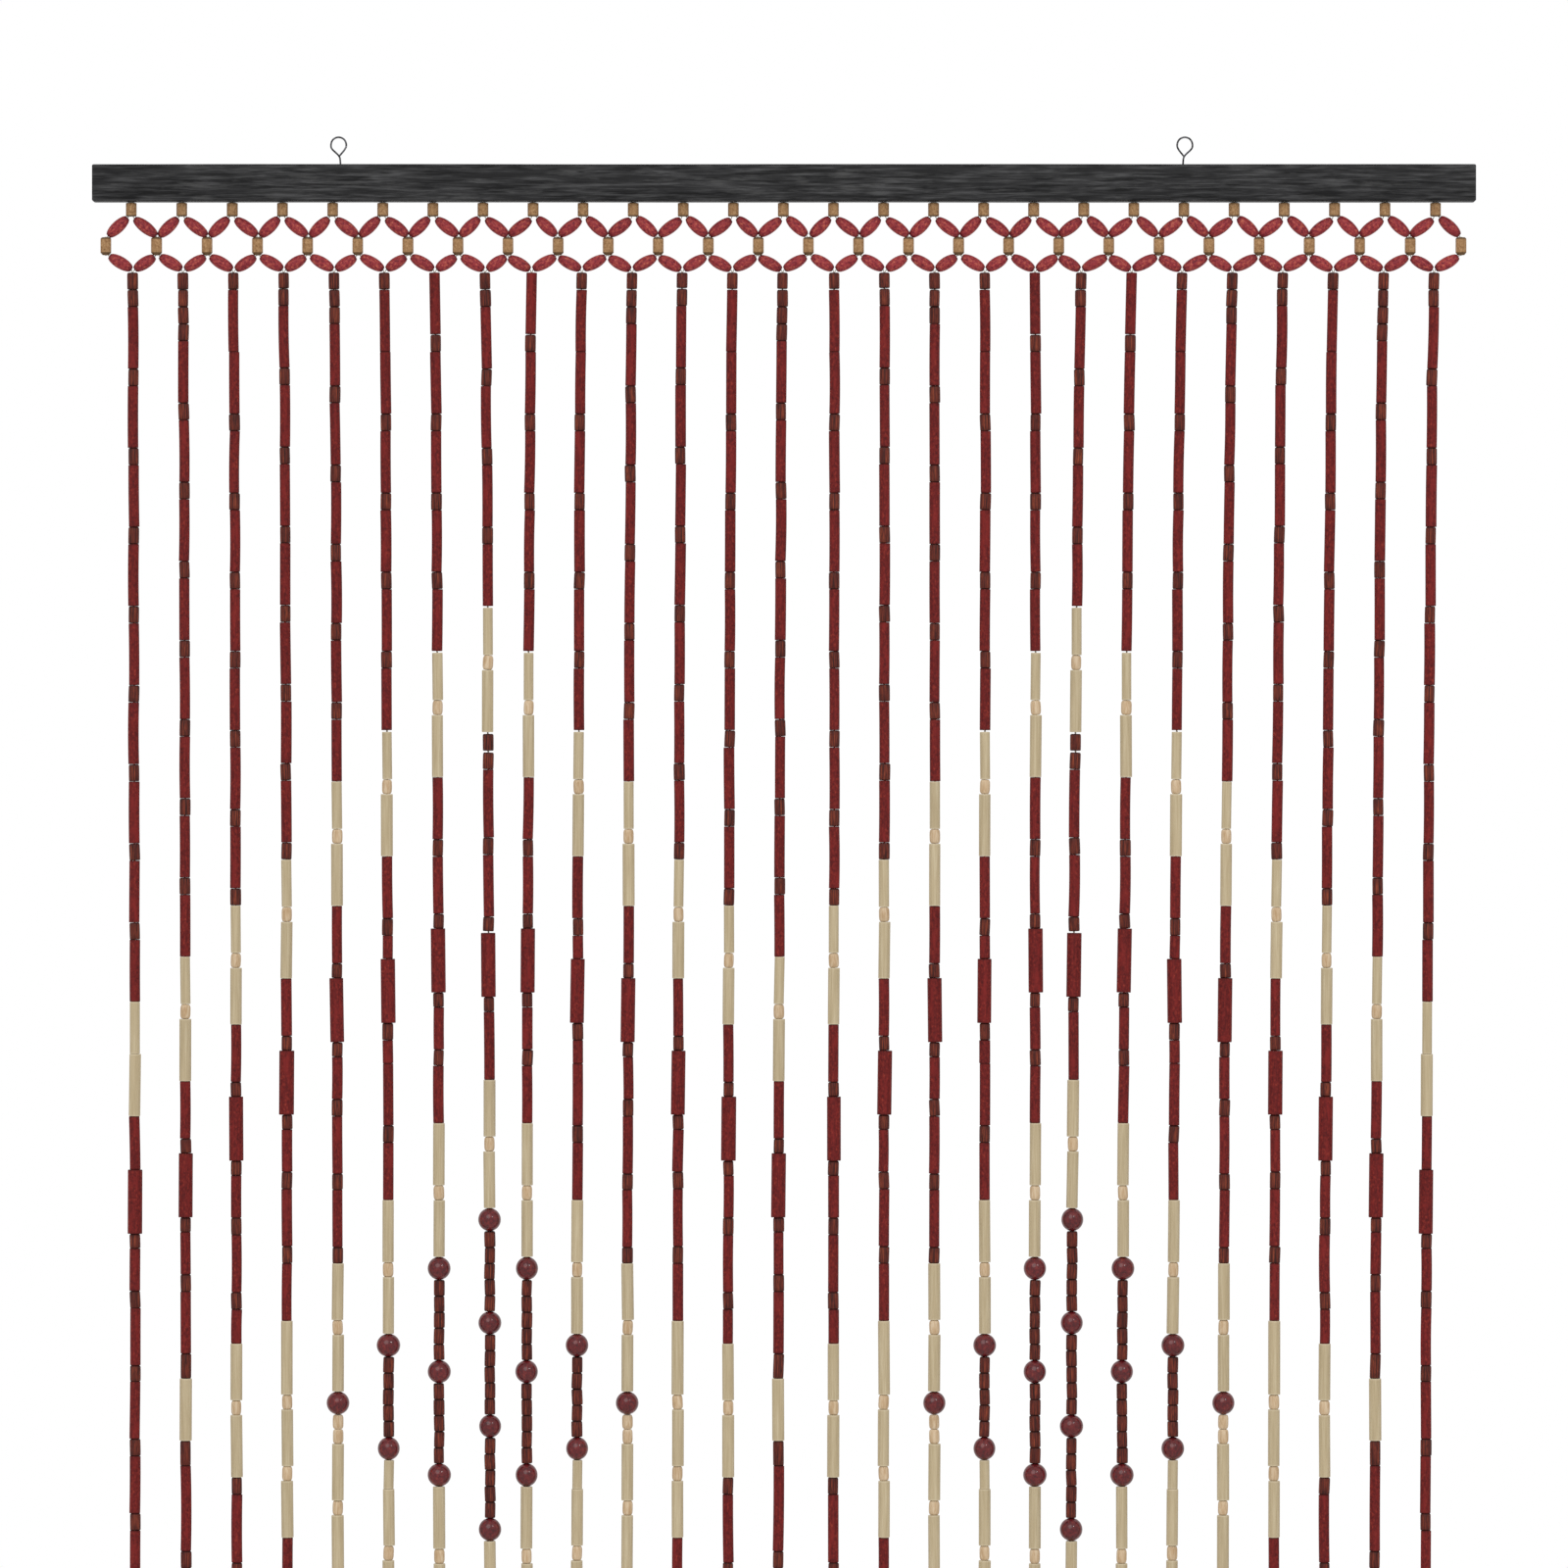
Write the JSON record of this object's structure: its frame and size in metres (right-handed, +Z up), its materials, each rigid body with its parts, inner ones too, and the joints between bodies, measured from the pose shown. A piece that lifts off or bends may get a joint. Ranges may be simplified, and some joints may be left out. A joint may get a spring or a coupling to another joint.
{
  "type": "beaded door curtain",
  "caption": "Beaded door curtain: a stained wooden rail hung by wire screw eyes, with a net of oval beads and long beaded strands that swing and part.",
  "frame": {"origin": "above the middle of the rail, at the height where the hooks bear inside the tops of the two screw-eye loops", "axes": "+Z up along the hanging strands, +X along the rail to the viewer's right, -Y towards the viewer at the front"},
  "size_m": [0.9, 0.018, 2.0184],
  "materials": {
    "stained_rail": "black-stained, satin, fine grain along the rail",
    "steel_wire": "plain drawn steel wire",
    "red_oval": "dyed red with darker specks, satin",
    "tan_bead": "raw, fine grain, matte",
    "barrel_wood": "dark brown-red stain, satin",
    "red_tube": "dyed bamboo, speckled, satin",
    "cream_tube": "pale bamboo, smooth, satin",
    "natural_bead": "pale turned wood, matte",
    "maroon_ball": "glossy lacquer",
    "string": "twisted nylon thread"
  },
  "bodies": {
    "rail": {"rail": "stained_rail", "left_screw_eye": "steel_wire", "right_screw_eye": "steel_wire"},
    "net": {"upper_net": "red_oval", "lower_net": "tan_bead"},
    "top_bead_01": {"top_bead_01": "barrel_wood"},
    "strand_01": {"strand_01": "red_tube"},
    "top_bead_02": {"top_bead_02": "barrel_wood"},
    "strand_02": {"strand_02": "red_tube"},
    "top_bead_03": {"top_bead_03": "barrel_wood"},
    "strand_03": {"strand_03": "red_tube"},
    "top_bead_04": {"top_bead_04": "barrel_wood"},
    "strand_04": {"strand_04": "red_tube"},
    "top_bead_05": {"top_bead_05": "barrel_wood"},
    "strand_05": {"strand_05": "red_tube"},
    "top_bead_06": {"top_bead_06": "barrel_wood"},
    "strand_06": {"strand_06": "red_tube"},
    "top_bead_07": {"top_bead_07": "red_tube"},
    "strand_07": {"strand_07": "red_tube"},
    "top_bead_08": {"top_bead_08": "barrel_wood"},
    "strand_08": {"strand_08": "red_tube"},
    "top_bead_09": {"top_bead_09": "red_tube"},
    "strand_09": {"strand_09": "red_tube"},
    "top_bead_10": {"top_bead_10": "barrel_wood"},
    "strand_10": {"strand_10": "red_tube"},
    "top_bead_11": {"top_bead_11": "barrel_wood"},
    "strand_11": {"strand_11": "red_tube"},
    "top_bead_12": {"top_bead_12": "barrel_wood"},
    "strand_12": {"strand_12": "red_tube"},
    "top_bead_13": {"top_bead_13": "barrel_wood"},
    "strand_13": {"strand_13": "red_tube"},
    "top_bead_14": {"top_bead_14": "barrel_wood"},
    "strand_14": {"strand_14": "red_tube"},
    "top_bead_15": {"top_bead_15": "barrel_wood"},
    "strand_15": {"strand_15": "red_tube"},
    "top_bead_16": {"top_bead_16": "barrel_wood"},
    "strand_16": {"strand_16": "red_tube"},
    "top_bead_17": {"top_bead_17": "barrel_wood"},
    "strand_17": {"strand_17": "red_tube"},
    "top_bead_18": {"top_bead_18": "barrel_wood"},
    "strand_18": {"strand_18": "red_tube"},
    "top_bead_19": {"top_bead_19": "red_tube"},
    "strand_19": {"strand_19": "red_tube"},
    "top_bead_20": {"top_bead_20": "barrel_wood"},
    "strand_20": {"strand_20": "red_tube"},
    "top_bead_21": {"top_bead_21": "red_tube"},
    "strand_21": {"strand_21": "red_tube"},
    "top_bead_22": {"top_bead_22": "barrel_wood"},
    "strand_22": {"strand_22": "red_tube"},
    "top_bead_23": {"top_bead_23": "barrel_wood"},
    "strand_23": {"strand_23": "red_tube"},
    "top_bead_24": {"top_bead_24": "barrel_wood"},
    "strand_24": {"strand_24": "red_tube"},
    "top_bead_25": {"top_bead_25": "barrel_wood"},
    "strand_25": {"strand_25": "red_tube"},
    "top_bead_26": {"top_bead_26": "barrel_wood"},
    "strand_26": {"strand_26": "red_tube"},
    "top_bead_27": {"top_bead_27": "barrel_wood"},
    "strand_27": {"strand_27": "red_tube"}
  },
  "joints": [
    {"name": "net_swing", "type": "hinge", "parent": "rail", "child": "net", "pos_m": [0, 0, -0.0415], "axis": [1, 0, 0], "range_deg": [-12, 12]},
    {"name": "strand_swing_01", "type": "hinge", "parent": "net", "child": "top_bead_01", "pos_m": [-0.4238, 0, -0.0866], "axis": [1, 0, 0], "range_deg": [-45, 45]},
    {"name": "strand_parting_01", "type": "hinge", "parent": "top_bead_01", "child": "strand_01", "pos_m": [-0.4238, 0, -0.09845], "axis": [0, 1, 0], "range_deg": [0, 0.617]},
    {"name": "strand_swing_02", "type": "hinge", "parent": "net", "child": "top_bead_02", "pos_m": [-0.3912, 0, -0.0866], "axis": [1, 0, 0], "range_deg": [-45, 45]},
    {"name": "strand_parting_02", "type": "hinge", "parent": "top_bead_02", "child": "strand_02", "pos_m": [-0.3912, 0, -0.09845], "axis": [0, 1, 0], "range_deg": [0, 1.23]},
    {"name": "strand_swing_03", "type": "hinge", "parent": "net", "child": "top_bead_03", "pos_m": [-0.3586, 0, -0.0866], "axis": [1, 0, 0], "range_deg": [-45, 45]},
    {"name": "strand_parting_03", "type": "hinge", "parent": "top_bead_03", "child": "strand_03", "pos_m": [-0.3586, 0, -0.09845], "axis": [0, 1, 0], "range_deg": [0, 1.85]},
    {"name": "strand_swing_04", "type": "hinge", "parent": "net", "child": "top_bead_04", "pos_m": [-0.326, 0, -0.0866], "axis": [1, 0, 0], "range_deg": [-45, 45]},
    {"name": "strand_parting_04", "type": "hinge", "parent": "top_bead_04", "child": "strand_04", "pos_m": [-0.326, 0, -0.09845], "axis": [0, 1, 0], "range_deg": [0, 2.46]},
    {"name": "strand_swing_05", "type": "hinge", "parent": "net", "child": "top_bead_05", "pos_m": [-0.2934, 0, -0.0866], "axis": [1, 0, 0], "range_deg": [-45, 45]},
    {"name": "strand_parting_05", "type": "hinge", "parent": "top_bead_05", "child": "strand_05", "pos_m": [-0.2934, 0, -0.09845], "axis": [0, 1, 0], "range_deg": [0, 3.08]},
    {"name": "strand_swing_06", "type": "hinge", "parent": "net", "child": "top_bead_06", "pos_m": [-0.2608, 0, -0.0866], "axis": [1, 0, 0], "range_deg": [-45, 45]},
    {"name": "strand_parting_06", "type": "hinge", "parent": "top_bead_06", "child": "strand_06", "pos_m": [-0.2608, 0, -0.09845], "axis": [0, 1, 0], "range_deg": [0, 3.69]},
    {"name": "strand_swing_07", "type": "hinge", "parent": "net", "child": "top_bead_07", "pos_m": [-0.2282, 0, -0.0866], "axis": [1, 0, 0], "range_deg": [-45, 45]},
    {"name": "strand_parting_07", "type": "hinge", "parent": "top_bead_07", "child": "strand_07", "pos_m": [-0.2282, 0, -0.12775], "axis": [0, 1, 0], "range_deg": [0, 4.31]},
    {"name": "strand_swing_08", "type": "hinge", "parent": "net", "child": "top_bead_08", "pos_m": [-0.1956, 0, -0.0866], "axis": [1, 0, 0], "range_deg": [-45, 45]},
    {"name": "strand_parting_08", "type": "hinge", "parent": "top_bead_08", "child": "strand_08", "pos_m": [-0.1956, 0, -0.09845], "axis": [0, 1, 0], "range_deg": [0, 4.92]},
    {"name": "strand_swing_09", "type": "hinge", "parent": "net", "child": "top_bead_09", "pos_m": [-0.163, 0, -0.0866], "axis": [1, 0, 0], "range_deg": [-45, 45]},
    {"name": "strand_parting_09", "type": "hinge", "parent": "top_bead_09", "child": "strand_09", "pos_m": [-0.163, 0, -0.12775], "axis": [0, 1, 0], "range_deg": [0, 5.54]},
    {"name": "strand_swing_10", "type": "hinge", "parent": "net", "child": "top_bead_10", "pos_m": [-0.1304, 0, -0.0866], "axis": [1, 0, 0], "range_deg": [-45, 45]},
    {"name": "strand_parting_10", "type": "hinge", "parent": "top_bead_10", "child": "strand_10", "pos_m": [-0.1304, 0, -0.09845], "axis": [0, 1, 0], "range_deg": [0, 6.16]},
    {"name": "strand_swing_11", "type": "hinge", "parent": "net", "child": "top_bead_11", "pos_m": [-0.0978, 0, -0.0866], "axis": [1, 0, 0], "range_deg": [-45, 45]},
    {"name": "strand_parting_11", "type": "hinge", "parent": "top_bead_11", "child": "strand_11", "pos_m": [-0.0978, 0, -0.09845], "axis": [0, 1, 0], "range_deg": [0, 6.77]},
    {"name": "strand_swing_12", "type": "hinge", "parent": "net", "child": "top_bead_12", "pos_m": [-0.0652, 0, -0.0866], "axis": [1, 0, 0], "range_deg": [-45, 45]},
    {"name": "strand_parting_12", "type": "hinge", "parent": "top_bead_12", "child": "strand_12", "pos_m": [-0.0652, 0, -0.09845], "axis": [0, 1, 0], "range_deg": [0, 7.39]},
    {"name": "strand_swing_13", "type": "hinge", "parent": "net", "child": "top_bead_13", "pos_m": [-0.0326, 0, -0.0866], "axis": [1, 0, 0], "range_deg": [-45, 45]},
    {"name": "strand_parting_13", "type": "hinge", "parent": "top_bead_13", "child": "strand_13", "pos_m": [-0.0326, 0, -0.09845], "axis": [0, 1, 0], "range_deg": [0, 8]},
    {"name": "strand_swing_14", "type": "hinge", "parent": "net", "child": "top_bead_14", "pos_m": [0, 0, -0.0866], "axis": [1, 0, 0], "range_deg": [-45, 45]},
    {"name": "strand_parting_14", "type": "hinge", "parent": "top_bead_14", "child": "strand_14", "pos_m": [0, 0, -0.09845], "axis": [0, -1, 0], "range_deg": [0, 8]},
    {"name": "strand_swing_15", "type": "hinge", "parent": "net", "child": "top_bead_15", "pos_m": [0.0326, 0, -0.0866], "axis": [1, 0, 0], "range_deg": [-45, 45]},
    {"name": "strand_parting_15", "type": "hinge", "parent": "top_bead_15", "child": "strand_15", "pos_m": [0.0326, 0, -0.09845], "axis": [0, -1, 0], "range_deg": [0, 7.43]},
    {"name": "strand_swing_16", "type": "hinge", "parent": "net", "child": "top_bead_16", "pos_m": [0.0652, 0, -0.0866], "axis": [1, 0, 0], "range_deg": [-45, 45]},
    {"name": "strand_parting_16", "type": "hinge", "parent": "top_bead_16", "child": "strand_16", "pos_m": [0.0652, 0, -0.09845], "axis": [0, -1, 0], "range_deg": [0, 6.86]},
    {"name": "strand_swing_17", "type": "hinge", "parent": "net", "child": "top_bead_17", "pos_m": [0.0978, 0, -0.0866], "axis": [1, 0, 0], "range_deg": [-45, 45]},
    {"name": "strand_parting_17", "type": "hinge", "parent": "top_bead_17", "child": "strand_17", "pos_m": [0.0978, 0, -0.09845], "axis": [0, -1, 0], "range_deg": [0, 6.29]},
    {"name": "strand_swing_18", "type": "hinge", "parent": "net", "child": "top_bead_18", "pos_m": [0.1304, 0, -0.0866], "axis": [1, 0, 0], "range_deg": [-45, 45]},
    {"name": "strand_parting_18", "type": "hinge", "parent": "top_bead_18", "child": "strand_18", "pos_m": [0.1304, 0, -0.09845], "axis": [0, -1, 0], "range_deg": [0, 5.72]},
    {"name": "strand_swing_19", "type": "hinge", "parent": "net", "child": "top_bead_19", "pos_m": [0.163, 0, -0.0866], "axis": [1, 0, 0], "range_deg": [-45, 45]},
    {"name": "strand_parting_19", "type": "hinge", "parent": "top_bead_19", "child": "strand_19", "pos_m": [0.163, 0, -0.12775], "axis": [0, -1, 0], "range_deg": [0, 5.14]},
    {"name": "strand_swing_20", "type": "hinge", "parent": "net", "child": "top_bead_20", "pos_m": [0.1956, 0, -0.0866], "axis": [1, 0, 0], "range_deg": [-45, 45]},
    {"name": "strand_parting_20", "type": "hinge", "parent": "top_bead_20", "child": "strand_20", "pos_m": [0.1956, 0, -0.09845], "axis": [0, -1, 0], "range_deg": [0, 4.57]},
    {"name": "strand_swing_21", "type": "hinge", "parent": "net", "child": "top_bead_21", "pos_m": [0.2282, 0, -0.0866], "axis": [1, 0, 0], "range_deg": [-45, 45]},
    {"name": "strand_parting_21", "type": "hinge", "parent": "top_bead_21", "child": "strand_21", "pos_m": [0.2282, 0, -0.12775], "axis": [0, -1, 0], "range_deg": [0, 4]},
    {"name": "strand_swing_22", "type": "hinge", "parent": "net", "child": "top_bead_22", "pos_m": [0.2608, 0, -0.0866], "axis": [1, 0, 0], "range_deg": [-45, 45]},
    {"name": "strand_parting_22", "type": "hinge", "parent": "top_bead_22", "child": "strand_22", "pos_m": [0.2608, 0, -0.09845], "axis": [0, -1, 0], "range_deg": [0, 3.43]},
    {"name": "strand_swing_23", "type": "hinge", "parent": "net", "child": "top_bead_23", "pos_m": [0.2934, 0, -0.0866], "axis": [1, 0, 0], "range_deg": [-45, 45]},
    {"name": "strand_parting_23", "type": "hinge", "parent": "top_bead_23", "child": "strand_23", "pos_m": [0.2934, 0, -0.09845], "axis": [0, -1, 0], "range_deg": [0, 2.86]},
    {"name": "strand_swing_24", "type": "hinge", "parent": "net", "child": "top_bead_24", "pos_m": [0.326, 0, -0.0866], "axis": [1, 0, 0], "range_deg": [-45, 45]},
    {"name": "strand_parting_24", "type": "hinge", "parent": "top_bead_24", "child": "strand_24", "pos_m": [0.326, 0, -0.09845], "axis": [0, -1, 0], "range_deg": [0, 2.29]},
    {"name": "strand_swing_25", "type": "hinge", "parent": "net", "child": "top_bead_25", "pos_m": [0.3586, 0, -0.0866], "axis": [1, 0, 0], "range_deg": [-45, 45]},
    {"name": "strand_parting_25", "type": "hinge", "parent": "top_bead_25", "child": "strand_25", "pos_m": [0.3586, 0, -0.09845], "axis": [0, -1, 0], "range_deg": [0, 1.72]},
    {"name": "strand_swing_26", "type": "hinge", "parent": "net", "child": "top_bead_26", "pos_m": [0.3912, 0, -0.0866], "axis": [1, 0, 0], "range_deg": [-45, 45]},
    {"name": "strand_parting_26", "type": "hinge", "parent": "top_bead_26", "child": "strand_26", "pos_m": [0.3912, 0, -0.09845], "axis": [0, -1, 0], "range_deg": [0, 1.14]},
    {"name": "strand_swing_27", "type": "hinge", "parent": "net", "child": "top_bead_27", "pos_m": [0.4238, 0, -0.0866], "axis": [1, 0, 0], "range_deg": [-45, 45]},
    {"name": "strand_parting_27", "type": "hinge", "parent": "top_bead_27", "child": "strand_27", "pos_m": [0.4238, 0, -0.09845], "axis": [0, -1, 0], "range_deg": [0, 0.573]}
  ],
  "couplings": [
    {"joint": "strand_parting_01", "follows": "strand_parting_13", "ratio": 0.076923},
    {"joint": "strand_parting_02", "follows": "strand_parting_13", "ratio": 0.15385},
    {"joint": "strand_parting_03", "follows": "strand_parting_13", "ratio": 0.23077},
    {"joint": "strand_parting_04", "follows": "strand_parting_13", "ratio": 0.30769},
    {"joint": "strand_parting_05", "follows": "strand_parting_13", "ratio": 0.38461},
    {"joint": "strand_parting_06", "follows": "strand_parting_13", "ratio": 0.46154},
    {"joint": "strand_parting_07", "follows": "strand_parting_13", "ratio": 0.53846},
    {"joint": "strand_parting_08", "follows": "strand_parting_13", "ratio": 0.61538},
    {"joint": "strand_parting_09", "follows": "strand_parting_13", "ratio": 0.69231},
    {"joint": "strand_parting_10", "follows": "strand_parting_13", "ratio": 0.76923},
    {"joint": "strand_parting_11", "follows": "strand_parting_13", "ratio": 0.84615},
    {"joint": "strand_parting_12", "follows": "strand_parting_13", "ratio": 0.92308},
    {"joint": "strand_parting_15", "follows": "strand_parting_14", "ratio": 0.92857},
    {"joint": "strand_parting_16", "follows": "strand_parting_14", "ratio": 0.85714},
    {"joint": "strand_parting_17", "follows": "strand_parting_14", "ratio": 0.78571},
    {"joint": "strand_parting_18", "follows": "strand_parting_14", "ratio": 0.71429},
    {"joint": "strand_parting_19", "follows": "strand_parting_14", "ratio": 0.64286},
    {"joint": "strand_parting_20", "follows": "strand_parting_14", "ratio": 0.57143},
    {"joint": "strand_parting_21", "follows": "strand_parting_14", "ratio": 0.5},
    {"joint": "strand_parting_22", "follows": "strand_parting_14", "ratio": 0.42857},
    {"joint": "strand_parting_23", "follows": "strand_parting_14", "ratio": 0.35714},
    {"joint": "strand_parting_24", "follows": "strand_parting_14", "ratio": 0.28571},
    {"joint": "strand_parting_25", "follows": "strand_parting_14", "ratio": 0.21429},
    {"joint": "strand_parting_26", "follows": "strand_parting_14", "ratio": 0.14286},
    {"joint": "strand_parting_27", "follows": "strand_parting_14", "ratio": 0.071429}
  ]
}
